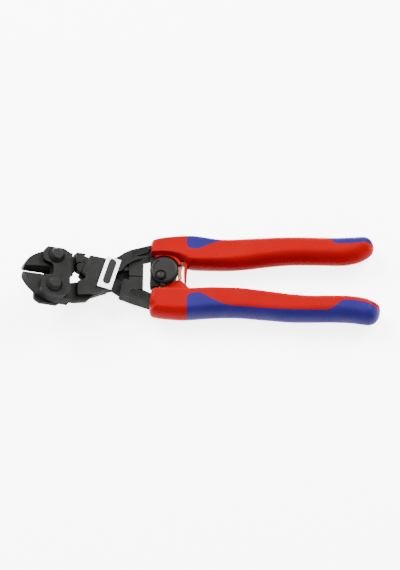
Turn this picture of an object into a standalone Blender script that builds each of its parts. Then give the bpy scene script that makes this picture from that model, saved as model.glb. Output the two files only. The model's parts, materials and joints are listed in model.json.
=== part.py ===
"""Compact lever-action bolt cutters, about 200 mm long, with a head set at 20 degrees.

World frame: X runs along the tool (handles towards +X, jaws towards -X), Y runs across
the handles and Z is up.  The tool lies closed on its flat side at Z = 0.
Every steel piece is drawn flat, in millimetres, around the kink between head and handles;
what lies on the jaw side of the kink is then set at the head angle.
"""
import bpy
import bmesh
from math import cos, pi, radians, sin, tan
from mathutils import Matrix, Vector

MM = 0.001

# ---------------------------------------------------------------- driving dimensions (mm)
KINK_X = -46.0               # kink between head and handles, along the tool
BODY_Z = 8.0                 # height of the middle plane of the handles
HEAD_ANGLE = radians(20.0)   # the head rises by this angle towards the jaws
BEND_HALF = 3.0              # half length of the bent stretch of the forgings
GAP = 0.3                    # clearance between neighbouring pieces

BODY_HALF = 4.8              # half thickness of jaws, neck and levers
TONGUE_HALF = 1.8            # half thickness of the tongue between the cheeks
CHEEK_IN = TONGUE_HALF + GAP
NOSE_HALF = 2.3              # half thickness of the nose that drives the upper jaw
TANG_HALF = 2.5              # half thickness of the tangs inside the grips
PAD_HALF = 3.2               # half thickness of the gripping pads and the lock lobe
PLATE_T = 3.0                # thickness of a link plate
PLATE_Z = BODY_HALF + GAP    # inner face of a link plate
WEB_TOP = -0.5               # top of the web that joins the upper jaw to its tail
TAIL_TOP = 2.2               # front of the tail, which goes behind the front cheek

EDGE_LINE = -4.6             # the cutting edges meet on this line
TIP_X = -56.1                # tip of the jaws
JAW_END_X = -28.7            # end wall of both jaw blocks
TAIL_X = -26.1               # near wall of the upper jaw's tail
EDGE_END_X = -38.0           # end of the cutting edges
TAPER_X = -44.0              # the jaws get thinner from here to the tip
TIP_TAPER = 0.25             # share of the thickness lost at the tip

LOWER_LINK = (-40.0, -13.1)  # link pivot on the lower jaw
UPPER_LINK = (-39.2, 4.3)    # link pivot on the upper jaw
HANDLE_PIN = (-9.5, 1.0)     # hinge between the two levers
KNUCKLE = (-23.0, 1.8)       # where the nose of the upper lever sits in the jaw's tail
LOCK_AXIS = (25.3, 2.6)      # axis of the locking disc

LINK_SHANK_R = 2.3
LINK_HEAD_R = 4.4
LINK_HEAD_TOP_R = 3.0
LINK_HEAD_H = 3.0
COUNTERBORE_R = 4.75
COUNTERBORE_DEPTH = 0.6
PIN_R = 2.4
HUB_R = 4.6                  # hub of the tongue round the handle pin
NOSE_R = 2.6
CUP_R = 3.4
DISC_R = 8.0
LOBE_R = 7.3                 # lobe of the upper lever under the disc
DISC_H = 3.3
AXLE_R = 2.0
GRIP_HALF = 8.0              # half thickness of the grips
GRIP_ROUND = 3.2             # rounding of the grip edges

# ---------------------------------------------------------------- colours
STEEL = ((0.060, 0.058, 0.056), 0.42, 0.85)
STEEL_DARK = ((0.030, 0.030, 0.030), 0.50, 0.80)
STEEL_BRIGHT = ((0.46, 0.42, 0.38), 0.32, 0.95)
RED = ((0.62, 0.015, 0.010), 0.45, 0.0)
BLUE = ((0.030, 0.040, 0.240), 0.50, 0.0)
WHITE = ((0.80, 0.80, 0.80), 0.45, 0.0)
LOCK_BLACK = ((0.055, 0.055, 0.054), 0.42, 0.0)
FINISHES = {"steel": STEEL, "dark": STEEL_DARK, "bright": STEEL_BRIGHT, "red": RED,
            "blue": BLUE, "white": WHITE, "lock": LOCK_BLACK}


# ---------------------------------------------------------------- outlines
def arc(centre, radius, start, end, steps):
    """Points on a round stretch; angles in degrees."""
    points = []
    for i in range(steps + 1):
        angle = radians(start + (end - start) * i / steps)
        points.append((centre[0] + radius * cos(angle), centre[1] + radius * sin(angle)))
    return points


def sweep(p0, p1, p2, p3, steps):
    """Points on a cubic curve with two handles."""
    points = []
    for i in range(steps + 1):
        t = i / steps
        s = 1.0 - t
        weights = (s * s * s, 3 * s * s * t, 3 * s * t * t, t * t * t)
        x = sum(w * p[0] for w, p in zip(weights, (p0, p1, p2, p3)))
        y = sum(w * p[1] for w, p in zip(weights, (p0, p1, p2, p3)))
        points.append((x, y))
    return points


def smooth(points, steps):
    """Points on a smooth open curve through the given points."""
    result = []
    last = len(points) - 1
    for i in range(last):
        before = points[max(i - 1, 0)]
        after = points[min(i + 2, last)]
        p0, p3 = points[i], points[i + 1]
        p1 = (p0[0] + (p3[0] - before[0]) / 6, p0[1] + (p3[1] - before[1]) / 6)
        p2 = (p3[0] - (after[0] - p0[0]) / 6, p3[1] - (after[1] - p0[1]) / 6)
        result += sweep(p0, p1, p2, p3, steps)[:-1]
    return result + [points[-1]]


def rounded(corners, steps=5):
    """Closed outline whose corners are (x, y) or (x, y, radius)."""
    points = []
    count = len(corners)
    for i, corner in enumerate(corners):
        here = Vector(corner[:2])
        radius = corner[2] if len(corner) > 2 else 0.0
        if radius == 0.0:
            points.append(tuple(here))
            continue
        back = (Vector(corners[i - 1][:2]) - here).normalized()
        ahead = (Vector(corners[(i + 1) % count][:2]) - here).normalized()
        half = back.angle(ahead) / 2
        reach = radius / tan(half)
        middle = here + (back + ahead).normalized() * (radius / sin(half))
        first = here + back * reach - middle
        second = here + ahead * reach - middle
        turn = first.angle_signed(second)
        for k in range(steps + 1):
            angle = -turn * k / steps
            spoke = Matrix.Rotation(angle, 2) @ first
            points.append(tuple(middle + spoke))
    return points


# ---------------------------------------------------------------- solids
PARTS = None


def start_scene():
    """Empties the scene and makes the collection for the parts."""
    global PARTS
    for obj in list(bpy.data.objects):
        bpy.data.objects.remove(obj, do_unlink=True)
    PARTS = bpy.data.collections.new("bolt_cutters")
    bpy.context.scene.collection.children.link(PARTS)


def mesh_object(name, mesh):
    obj = bpy.data.objects.new(name, mesh)
    PARTS.objects.link(obj)
    return obj


def baked(obj):
    """Replaces an object's mesh by what its modifiers make of it."""
    bpy.context.view_layer.update()
    evaluated = obj.evaluated_get(bpy.context.evaluated_depsgraph_get())
    mesh = bpy.data.meshes.new_from_object(evaluated)
    if obj.type == "CURVE":
        shape = bmesh.new()
        shape.from_mesh(mesh)
        bmesh.ops.remove_doubles(shape, verts=shape.verts, dist=0.00001)
        bmesh.ops.recalc_face_normals(shape, faces=shape.faces)
        shape.to_mesh(mesh)
        shape.free()
        solid = mesh_object(obj.name + "_solid", mesh)
        solid.matrix_world = obj.matrix_world.copy()
        name = obj.name
        bpy.data.objects.remove(obj, do_unlink=True)
        solid.name = name
        return solid
    obj.modifiers.clear()
    obj.data = mesh
    return obj


def slab(name, outline, bottom, top):
    """A flat outline in mm given a thickness from bottom to top."""
    curve = bpy.data.curves.new(name, "CURVE")
    curve.dimensions = "2D"
    curve.fill_mode = "BOTH"
    curve.extrude = (top - bottom) / 2 * MM
    spline = curve.splines.new("POLY")
    spline.points.add(len(outline) - 1)
    for point, (x, y) in zip(spline.points, outline):
        point.co = (x * MM, y * MM, 0.0, 1.0)
    spline.use_cyclic_u = True
    obj = mesh_object(name, curve)
    obj = baked(obj)
    for vertex in obj.data.vertices:
        vertex.co.z += (top + bottom) / 2 * MM
    return obj


def drawn_in(outline, inset):
    """The outline moved inwards by an even amount; the outline runs counterclockwise."""
    moved = []
    count = len(outline)
    for i in range(count):
        here = Vector(outline[i])
        back = (here - Vector(outline[i - 1])).normalized()
        ahead = (Vector(outline[(i + 1) % count]) - here).normalized()
        inward = (Vector((-back.y, back.x)) + Vector((-ahead.y, ahead.x))).normalized()
        stretch = max(inward.dot(Vector((-back.y, back.x))), 0.5)
        moved.append(tuple(here + inward * (inset / stretch)))
    return moved


def pillow(name, outline, half, round_off, steps=4):
    """A slab whose rims are rounded: rings of the outline, drawn in towards both faces."""
    quarter = [(round_off * (1.0 - cos(pi / 2 * k / steps)),
                half - round_off + round_off * sin(pi / 2 * k / steps))
               for k in range(steps + 1)]
    levels = [(inset, -z) for inset, z in reversed(quarter)] + quarter
    shape = bmesh.new()
    rings = []
    for inset, z in levels:
        ring = drawn_in(outline, inset)
        rings.append([shape.verts.new((x * MM, y * MM, z * MM)) for x, y in ring])
    for lower, upper in zip(rings, rings[1:]):
        for i in range(len(outline)):
            k = (i + 1) % len(outline)
            shape.faces.new((lower[i], lower[k], upper[k], upper[i]))
    shape.faces.new(rings[0][::-1])
    shape.faces.new(rings[-1])
    mesh = bpy.data.meshes.new(name)
    shape.to_mesh(mesh)
    shape.free()
    return mesh_object(name, mesh)


def bar_x(name, outline_yz, x_start, x_end):
    """An outline in Y and Z (mm) that runs along X."""
    obj = slab(name, outline_yz, x_start, x_end)
    turn = Matrix(((0, 0, 1, 0), (1, 0, 0, 0), (0, 1, 0, 0), (0, 0, 0, 1)))
    obj.data.transform(turn)
    return obj


def turned(name, profile, centre, segments=40):
    """A turned piece: profile of (radius, z) pairs in mm, from its top to its bottom."""
    mesh = bpy.data.meshes.new(name)
    shape = bmesh.new()
    rim = [shape.verts.new((radius * MM, 0.0, z * MM)) for radius, z in profile]
    for first, second in zip(rim, rim[1:]):
        shape.edges.new((first, second))
    shape.to_mesh(mesh)
    shape.free()
    obj = mesh_object(name, mesh)
    screw = obj.modifiers.new("turn", "SCREW")
    screw.axis = "Z"
    screw.steps = segments
    screw.render_steps = segments
    screw.use_merge_vertices = True
    screw.merge_threshold = 0.00001
    screw.use_smooth_shade = True
    obj = baked(obj)
    for vertex in obj.data.vertices:
        vertex.co.x += centre[0] * MM
        vertex.co.y += centre[1] * MM
    return obj


def rod(name, centre, radius, bottom, top, segments=40):
    profile = [(0.0, top), (radius, top), (radius, bottom), (0.0, bottom)]
    return turned(name, profile, centre, segments)


def combine(obj, others, operation):
    """Boolean of an object with a list of others, which are used up."""
    for other in others:
        step = obj.modifiers.new("step", "BOOLEAN")
        step.operation = operation
        step.object = other
        step.solver = "EXACT"
        baked(obj)
        bpy.data.objects.remove(other, do_unlink=True)
    return obj


def join(obj, *others):
    return combine(obj, others, "UNION")


def cut(obj, *others):
    return combine(obj, others, "DIFFERENCE")


def bevel(obj, width, segments=2, angle=35.0):
    step = obj.modifiers.new("edges", "BEVEL")
    step.width = width * MM
    step.segments = segments
    step.limit_method = "ANGLE"
    step.angle_limit = radians(angle)
    step.use_clamp_overlap = True
    return baked(obj)


def tidy(obj):
    """Merges what a Boolean leaves doubled and dissolves points on straight edges."""
    shape = bmesh.new()
    shape.from_mesh(obj.data)
    bmesh.ops.remove_doubles(shape, verts=shape.verts, dist=0.000004)
    bmesh.ops.dissolve_limit(shape, angle_limit=radians(0.5), verts=shape.verts,
                             edges=shape.edges)
    bmesh.ops.triangulate(shape, faces=[f for f in shape.faces if len(f.verts) > 4])
    shape.to_mesh(obj.data)
    shape.free()
    return obj


def plane_cut(obj, point, normal):
    """Takes away what lies beyond a plane, given in mm."""
    shape = bmesh.new()
    shape.from_mesh(obj.data)
    whole = shape.verts[:] + shape.edges[:] + shape.faces[:]
    result = bmesh.ops.bisect_plane(shape, geom=whole, dist=0.000001,
                                    plane_co=Vector(point) * MM,
                                    plane_no=Vector(normal), clear_outer=True)
    rim = [item for item in result["geom_cut"] if isinstance(item, bmesh.types.BMEdge)]
    bmesh.ops.holes_fill(shape, edges=rim)
    bmesh.ops.recalc_face_normals(shape, faces=shape.faces)
    shape.to_mesh(obj.data)
    shape.free()
    return obj


def slice_at(shape, x):
    """Adds a loop of edges where a plane across the tool meets the mesh."""
    whole = shape.verts[:] + shape.edges[:] + shape.faces[:]
    bmesh.ops.bisect_plane(shape, geom=whole, dist=0.000001,
                           plane_co=(x * MM, 0, 0), plane_no=(1, 0, 0))


def taper_tip(obj):
    """Thins a jaw towards its tip."""
    shape = bmesh.new()
    shape.from_mesh(obj.data)
    slice_at(shape, TAPER_X)
    for vertex in shape.verts:
        beyond = (TAPER_X - vertex.co.x / MM) / (TAPER_X - TIP_X)
        vertex.co.z *= 1.0 - TIP_TAPER * min(max(beyond, 0.0), 1.05)
    shape.to_mesh(obj.data)
    shape.free()
    return obj


def bend_at_kink(obj):
    """Sets the jaw side of a forging at the head angle, along a short round bend."""
    steps = 6
    radius = BEND_HALF / tan(HEAD_ANGLE / 2)
    shape = bmesh.new()
    shape.from_mesh(obj.data)
    for i in range(steps + 1):
        slice_at(shape, -BEND_HALF + 2 * BEND_HALF * i / steps)
    for vertex in shape.verts:
        x = vertex.co.x / MM
        z = vertex.co.z / MM
        if x >= BEND_HALF:
            continue
        if x <= -BEND_HALF:
            turn, centre_x, centre_z = HEAD_ANGLE, x * cos(HEAD_ANGLE), -x * sin(HEAD_ANGLE)
        else:
            turn = HEAD_ANGLE * (BEND_HALF - x) / (2 * BEND_HALF)
            centre_x = BEND_HALF - radius * sin(turn)
            centre_z = radius * (1.0 - cos(turn))
        vertex.co.x = (centre_x + z * sin(turn)) * MM
        vertex.co.z = (centre_z + z * cos(turn)) * MM
    shape.to_mesh(obj.data)
    shape.free()
    return obj


# ---------------------------------------------------------------- frames
FRAMES = {}


def empty(name, parent, location, tilt=0.0):
    frame = bpy.data.objects.new(name, None)
    bpy.context.scene.collection.objects.link(frame)
    frame.empty_display_size = 0.01
    frame.parent = parent
    frame.location = Vector(location) * MM
    frame.rotation_euler = (0.0, tilt, 0.0)
    FRAMES[name] = frame
    bpy.context.view_layer.update()
    return frame


def build_frames():
    """The kink, the tilted head and one empty on each joint's axis."""
    kink = empty("kink", None, (KINK_X, 0, BODY_Z))
    head = empty("head", kink, (0, 0, 0), HEAD_ANGLE)
    empty("handle_axis", head, (HANDLE_PIN[0], HANDLE_PIN[1], 0))
    empty("link_axis", head, (LOWER_LINK[0], LOWER_LINK[1], 0))
    empty("jaw_axis", head, (UPPER_LINK[0], UPPER_LINK[1], 0))
    empty("lock_axis", kink, (LOCK_AXIS[0], LOCK_AXIS[1], 0))


def place(obj, frame, rides_on, finish):
    """Puts a finished piece in its frame, on its joint's empty, with its own material."""
    obj.parent = FRAMES[rides_on]
    bpy.context.view_layer.update()
    obj.matrix_world = FRAMES[frame].matrix_world.copy()
    colour, roughness, metallic = FINISHES[finish]
    material = bpy.data.materials.new(obj.name + "_finish")
    material.use_nodes = True
    shader = material.node_tree.nodes["Principled BSDF"]
    shader.inputs["Base Color"].default_value = (*colour, 1.0)
    shader.inputs["Roughness"].default_value = roughness
    shader.inputs["Metallic"].default_value = metallic
    obj.data.materials.clear()
    obj.data.materials.append(material)
    obj.data.shade_smooth()
    obj.data.set_sharp_from_angle(angle=radians(30))
    return obj


# ---------------------------------------------------------------- jaws
def blade_ground(jaw, side):
    """Grinds both faces of a jaw down to its cutting edge; side is +1 for the upper jaw."""
    edge = EDGE_LINE + side * GAP / 2
    rise = 2.9
    beyond = 1.0
    for face in (1, -1):
        wedge = [(edge - side * beyond, -face * 0.02), (edge, 0.0),
                 (edge + side * rise, face * BODY_HALF),
                 (edge + side * (rise + 0.2), face * (BODY_HALF + beyond)),
                 (edge - side * beyond, face * (BODY_HALF + beyond))]
        if side * face > 0:
            wedge.reverse()
        cut(jaw, bar_x("grind", wedge, TIP_X - 4.0, EDGE_END_X - 3.2))
    return jaw


def upper_jaw():
    """The moving jaw: blade, bolt eye and the tail that the upper lever lifts."""
    edge = EDGE_LINE + GAP / 2
    nose = sweep((TIP_X, edge + 1.6), (TIP_X, edge + 6.0), (-51.0, 6.4), (-41.0, 8.3), 10)
    outline = [(TIP_X, edge)] + nose
    outline += [(JAW_END_X, 8.4), (TAIL_X, 8.4), (TAIL_X, 10.5), (-20.2, 10.5), (-24.7, 1.0)]
    outline += [(TAIL_X, 0.4), (TAIL_X, -1.6), (JAW_END_X, -3.0), (JAW_END_X, -4.3)]
    outline += [(EDGE_END_X + 1.5, edge + 0.6), (EDGE_END_X - 1.5, edge)]
    jaw = slab("upper_jaw", outline[::-1], -BODY_HALF, BODY_HALF)
    taper_tip(jaw)
    bevel(jaw, 0.5, 2, 50)
    groove = slab("groove", [(JAW_END_X - 0.2, -12.0), (TAIL_X + 0.3, -12.0),
                             (TAIL_X + 0.3, 14.0), (JAW_END_X - 0.2, 14.0)], WEB_TOP, 9.0)
    slot = NOSE_HALF + GAP
    cup = rod("cup", KNUCKLE, CUP_R, -slot, slot, 48)
    mouth = slab("mouth", [(-23.6, 5.0), (-27.2, -2.6), (-18.0, -6.0), (-18.0, 5.0)],
                 -slot - 0.01, slot + 0.01)
    eye = rod("eye", UPPER_LINK, LINK_SHANK_R + GAP, -9.0, 9.0, 32)
    tail_front = slab("tail_front", [(TAIL_X - 0.5, -12.0), (-15.0, -12.0), (-15.0, 14.0),
                                     (TAIL_X - 0.5, 14.0)], TAIL_TOP, 9.0)
    cut(jaw, groove, cup, mouth, eye, tail_front)
    blade_ground(jaw, 1)
    tidy(jaw)
    return place(jaw, "head", "jaw_axis", "steel")


def lower_jaw_block():
    """The fixed jaw, which is one forging with the lower lever."""
    edge = EDGE_LINE - GAP / 2
    belly = sweep((TIP_X, edge - 1.4), (-55.0, -10.6), (-47.0, -18.9), (-33.0, -19.3), 10)
    outline = [(TIP_X, edge)] + belly
    outline += [(JAW_END_X, -19.4), (JAW_END_X, -9.9), (-33.5, -8.4), (EDGE_END_X, edge)]
    jaw = slab("lower_jaw_block", outline, -BODY_HALF, BODY_HALF)
    taper_tip(jaw)
    bevel(jaw, 0.8, 2, 50)
    return blade_ground(jaw, -1)


# ---------------------------------------------------------------- levers
def tang(name, side):
    """The thin bar inside a grip; side is +1 for the upper lever."""
    inner = [(18.0, 12.3), (45.0, 12.2), (80.0, 13.0), (118.0, 14.0)]
    outer = [(122.0, 17.5), (80.0, 17.8), (45.0, 17.6), (18.0, 17.4)]
    outline = [(x, side * y) for x, y in inner + outer]
    if side < 0:
        outline.reverse()
    return slab(name, outline, -TANG_HALF, TANG_HALF)


def face_pocket(centre_y):
    """A shallow forged pocket in the face of a lever."""
    start, end, radius, depth = 10.8, 21.0, 2.2, 0.9
    outline = arc((end, centre_y), radius, -90, 90, 8) + arc((start, centre_y), radius, 90, 270, 8)
    return slab("pocket", outline, BODY_HALF - depth, BODY_HALF + 1.0)


def grip_pad(name, near, far):
    """The thinner pad behind the hinge that holds wire."""
    return slab(name, rounded([(5.8, near, 0.6), (13.6, near, 0.6), (13.6, far), (5.8, far)]),
                -PAD_HALF, PAD_HALF)


def lower_lever():
    """Fixed jaw, tongue through the neck and lower handle lever, all one forging."""
    left, hub = HANDLE_PIN
    outline = [(-33.0, -10.0), (JAW_END_X, -10.2), (-24.6, -8.6), (left - 4.4, hub - 3.3)]
    outline += arc(HANDLE_PIN, HUB_R, 205, 0, 14)
    outline += [(-2.6, -1.2), (2.6, -3.6), (8.0, -6.0), (8.0, -13.6), (0.7, -11.2)]
    outline += [(-3.6, -8.7), (-9.3, -10.7), (-15.4, -14.0), (-18.6, -17.4), (-26.0, -19.0)]
    outline += [(-33.0, -19.0)]
    tongue = slab("lower_lever", outline[::-1], -TONGUE_HALF, TONGUE_HALF)
    bevel(tongue, 0.3, 1, 60)
    lever = slab("lever", rounded([(2.0, -3.4, 1.2), (3.8, -2.5, 1.1),
                                   (7.2, -4.2, 3.0), (13.0, -8.4, 4.0), (19.0, -11.2, 3.0),
                                   (24.0, -11.6), (24.0, -18.0), (17.0, -17.3, 4.0),
                                   (6.3, -13.8, 6.0), (0.3, -11.3, 1.2)][::-1]),
                 -BODY_HALF, BODY_HALF)
    bevel(lever, 0.8, 2, 50)
    join(tongue, lower_jaw_block(), lever, grip_pad("pad", -0.65, -8.0), tang("tang", -1))
    pin_hole = rod("pin_hole", HANDLE_PIN, PIN_R + GAP, -9.0, 9.0, 40)
    link_hole = rod("link_hole", LOWER_LINK, LINK_SHANK_R + GAP, -9.0, 9.0, 32)
    cut(tongue, pin_hole, link_hole, face_pocket(-10.9))
    tidy(tongue)
    bend_at_kink(tongue)
    return place(tongue, "kink", "kink", "steel")


def tongue_room():
    """The room in the upper lever that the tongue swings in."""
    outline = [(-27.5, -20.0), (3.0, -20.0), (3.0, 0.0), (-3.4, 1.0)]
    outline += arc(HANDLE_PIN, HUB_R + 0.5, 5, 178, 12)
    outline += [(-21.0, 0.6), (-27.5, 0.4)]
    return slab("tongue_room", outline, -CHEEK_IN, CHEEK_IN)


def tail_room():
    """The room behind the front cheek that the tail of the upper jaw swings into."""
    outline = [KNUCKLE] + arc(KNUCKLE, 9.9, 26, 105, 12)
    return slab("tail_room", outline, -9.0, TAIL_TOP + GAP)


def upper_lever():
    """Upper handle lever: two cheeks round the tongue and the nose that drives the jaw."""
    outline = rounded([(-25.4, -16.0, 1.1), (-25.4, -7.4, 1.1), (-23.2, -6.9, 1.2),
                       (-19.6, -4.2, 1.2), (-22.8, -1.4, 1.0), (-18.5, 9.2, 1.1),
                       (-6.4, 8.3, 3.0), (0.8, 12.2, 3.0), (6.3, 15.0, 8.0), (17.4, 18.0, 6.0),
                       (24.0, 18.2), (24.0, 11.8), (18.0, 11.6, 6.0), (10.2, 9.4, 6.0),
                       (4.2, 6.0, 4.0), (0.7, 2.2, 2.0), (-2.8, 1.4, 0.4), (-5.8, -9.2, 1.0),
                       (-9.3, -10.6, 4.0), (-15.6, -13.7, 4.0)][::-1])
    lever = slab("upper_lever", outline, -BODY_HALF, BODY_HALF)
    bevel(lever, 0.7, 2, 50)
    label_seat = slab("label_seat", label_outline(GAP), BODY_HALF - 0.65, BODY_HALF + 1.0)
    seam = slab("seam", [(-2.3, 0.0), (-1.9, 0.0), (1.6, 13.5), (1.2, 13.5)],
                BODY_HALF - 0.4, BODY_HALF + 1.0)
    cut(lever, label_seat, seam, face_pocket(13.2), tongue_room(), tail_room())
    nose = rod("nose", KNUCKLE, NOSE_R, -NOSE_HALF, NOSE_HALF, 40)
    stem = slab("stem", [(-23.2, 0.3), (-17.0, 0.9), (-17.0, 4.2), (-23.2, 3.8)],
                -NOSE_HALF - 0.01, NOSE_HALF + 0.01)
    join(lever, nose, stem, lock_lobe(), grip_pad("pad", 0.05, 8.6), tang("tang", 1))
    pin_bore = rod("pin_bore", HANDLE_PIN, PIN_R + GAP, -9.0, 3.6, 40)
    axle_hole = rod("axle_hole", LOCK_AXIS, AXLE_R + GAP, -9.0, 9.0, 32)
    cut(lever, pin_bore, axle_hole)
    tidy(lever)
    crease, slope = Vector((-19.1, -3.0, BODY_HALF)), radians(5.0)
    away = Vector((-7.0, 8.0, 0.0)).normalized()
    plane_cut(lever, crease, away * sin(slope) + Vector((0, 0, cos(slope))))
    bend_at_kink(lever)
    return place(lever, "kink", "handle_axis", "steel")


def lock_lobe():
    """The flat lobe of the upper lever that carries the locking disc."""
    x, y = LOCK_AXIS
    outline = arc(LOCK_AXIS, LOBE_R, -160, 0, 14)
    outline += [(x + LOBE_R, 13.5), (x - 7.9, 13.5), (x - 7.9, y - 2.6)]
    return slab("lobe", outline, -PAD_HALF, PAD_HALF)


# ---------------------------------------------------------------- name label
def slanted(along, across):
    """A point of the label: along its slant from its lower edge, and across to the right."""
    slope = radians(16.7)
    x = -10.6 + along * sin(slope) + across * cos(slope)
    y = -10.0 + along * cos(slope) - across * sin(slope)
    return (x, y)


def label_outline(grow):
    """Label with a long round-ended opening that runs out at the top; grow widens it."""
    outer, inner, side_bar = 4.3 + grow, 2.3 - grow, 17.6 + grow
    low = -0.8 - grow
    right_top = 21.2 + grow
    opening = 6.4
    corners = [slanted(low - 1.0, -outer), slanted(low + 1.6, outer), slanted(right_top, outer)]
    corners += [slanted(right_top, inner)]
    bow = [slanted(opening + inner * sin(radians(a)), inner * cos(radians(a)))
           for a in range(0, -181, -20)]
    corners += bow
    corners += [slanted(side_bar, -inner), slanted(side_bar, -outer)]
    return corners


def name_label():
    """Thin blank label let into the front cheek."""
    label = slab("name_label", label_outline(0.0), BODY_HALF - 0.35, BODY_HALF + 0.05)
    bend_at_kink(label)
    return place(label, "kink", "handle_axis", "white")


# ---------------------------------------------------------------- link plates and fasteners
def link_plate(name, side):
    """One of the two plates that tie the jaws together; side is +1 at the front."""
    outline = rounded([(-30.9, -17.0, 3.2), (-30.9, 6.9, 2.2), (-35.0, 9.0, 4.0),
                       (-44.4, 9.0, 1.2), (-46.6, 6.2, 2.0), (-46.4, 0.6, 2.4),
                       (-40.5, -1.0, 2.6), (-40.5, -7.6, 2.6), (-47.4, -9.6, 2.4),
                       (-47.4, -17.2, 2.6), (-44.0, -19.3, 2.4), (-34.0, -19.3, 2.4)][::-1])
    inner, outer = PLATE_Z, PLATE_Z + PLATE_T
    low, high = (inner, outer) if side > 0 else (-outer, -inner)
    plate = slab(name, outline, low, high)
    bevel(plate, 0.7, 3, 50)
    for centre in (LOWER_LINK, UPPER_LINK):
        seat_from = outer - COUNTERBORE_DEPTH
        ends = (seat_from, outer + 1.0) if side > 0 else (-outer - 1.0, -seat_from)
        cut(plate, rod("hole", centre, LINK_SHANK_R + GAP, -12.0, 12.0, 32),
            rod("counterbore", centre, COUNTERBORE_R, ends[0], ends[1], 40))
    tidy(plate)
    return place(plate, "head", "link_axis", "steel")


def link_bolt(name, centre, rides_on):
    """Shouldered bolt with a conical head, from the front."""
    seat = PLATE_Z + PLATE_T - COUNTERBORE_DEPTH + GAP
    top = PLATE_Z + PLATE_T + LINK_HEAD_H
    tail = -(PLATE_Z + PLATE_T + 2.2)
    profile = [(0.0, top), (LINK_HEAD_TOP_R - 0.3, top), (LINK_HEAD_TOP_R, top - 0.2),
               (LINK_HEAD_R, top - LINK_HEAD_H + 0.3), (LINK_HEAD_R, seat),
               (LINK_SHANK_R, seat), (LINK_SHANK_R, tail + 0.3),
               (LINK_SHANK_R - 0.3, tail), (0.0, tail)]
    bolt = turned(name, profile, centre)
    tidy(bolt)
    return place(bolt, "head", rides_on, "steel")


def link_nut(name, centre, rides_on):
    """Low hexagonal nut on the back of a link bolt."""
    top = -(PLATE_Z + PLATE_T - COUNTERBORE_DEPTH + GAP)
    bottom = top - 2.4
    outline = arc(centre, 4.3, 0, 300, 5)
    nut = slab(name, outline, bottom, top)
    bevel(nut, 0.3, 2, 30)
    cut(nut, rod("thread", centre, LINK_SHANK_R + GAP, -14.0, 0.0, 32))
    tidy(nut)
    return place(nut, "head", rides_on, "dark")


def handle_pin():
    """Pivot pin between the levers, pressed in from the back."""
    profile = [(0.0, 3.3), (PIN_R - 0.3, 3.3), (PIN_R, 3.0), (PIN_R, -BODY_HALF + 0.1),
               (PIN_R - 0.4, -BODY_HALF - 0.3), (0.0, -BODY_HALF - 0.3)]
    pin = turned("handle_pivot_pin", profile, HANDLE_PIN)
    tidy(pin)
    return place(pin, "head", "handle_axis", "dark")


# ---------------------------------------------------------------- lock
def lock_disc():
    """Turning knob of the lock with a seat for its button."""
    low = PAD_HALF + GAP
    top = low + DISC_H
    profile = [(0.0, top), (DISC_R - 2.2, top), (DISC_R - 1.4, top - 0.15),
               (DISC_R - 0.4, top - 0.9), (DISC_R, top - 1.7), (DISC_R, low + 0.3),
               (DISC_R - 0.3, low), (0.0, low)]
    disc = turned("lock_disc", profile, LOCK_AXIS, 56)
    x, y = LOCK_AXIS
    button_seat = rod("button_seat", (x - 1.8, y - 3.8), 2.3 + GAP, top - 0.9, top + 1.0, 32)
    axle_seat = rod("axle_seat", LOCK_AXIS, AXLE_R + GAP, low - 1.0, low + 2.0, 32)
    cut(disc, button_seat, axle_seat)
    tidy(disc)
    return place(disc, "kink", "lock_axis", "lock")


def lock_button():
    """Raised thumb stud set off the middle of the disc."""
    x, y = LOCK_AXIS
    low = PAD_HALF + GAP + DISC_H - 0.6
    profile = [(0.0, low + 1.9), (1.3, low + 1.8), (2.0, low + 1.4), (2.3, low + 0.9),
               (2.3, low), (0.0, low)]
    stud = turned("lock_stud", profile, (x - 1.8, y - 3.8), 32)
    return place(stud, "kink", "lock_axis", "lock")


def lock_axle():
    """Axle that ties the disc to the latch on the back."""
    low = -PAD_HALF - 3.0
    top = PAD_HALF + GAP + 1.7
    profile = [(0.0, top), (AXLE_R - 0.2, top), (AXLE_R, top - 0.2), (AXLE_R, low + 0.2),
               (AXLE_R - 0.2, low), (0.0, low)]
    axle = turned("lock_axle", profile, LOCK_AXIS, 32)
    return place(axle, "kink", "lock_axis", "dark")


def lock_latch():
    """Latch on the back end of the axle, with the finger that reaches to the lower lever."""
    x, y = LOCK_AXIS
    high = -PAD_HALF - GAP
    outline = arc(LOCK_AXIS, 4.6, -60, 240, 18) + [(x - 1.6, y - 8.0), (x + 1.6, y - 8.0)]
    latch = slab("lock_latch", outline, high - 1.8, high)
    bevel(latch, 0.25, 1, 50)
    cut(latch, rod("bore", LOCK_AXIS, AXLE_R + GAP, -9.0, 0.0, 32))
    tidy(latch)
    return place(latch, "kink", "lock_axis", "dark")


# ---------------------------------------------------------------- opening spring
def opening_spring():
    """Leaf that pushes the handles apart; it stands between the grips."""
    path = smooth([(35.6, 8.6), (34.9, 5.0), (34.4, 2.4), (34.0, 0.6)], 4)
    half = 0.55
    left = [(x - half, y) for x, y in path]
    right = [(x + half, y) for x, y in path]
    leaf = slab("opening_spring", left + right[::-1], -3.0, 3.0)
    return place(leaf, "kink", "handle_axis", "bright")


# ---------------------------------------------------------------- grips
def to_kink(points):
    """Grip outlines are measured from the middle of the tool."""
    return [(x - KINK_X, y) for x, y in points]


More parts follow.
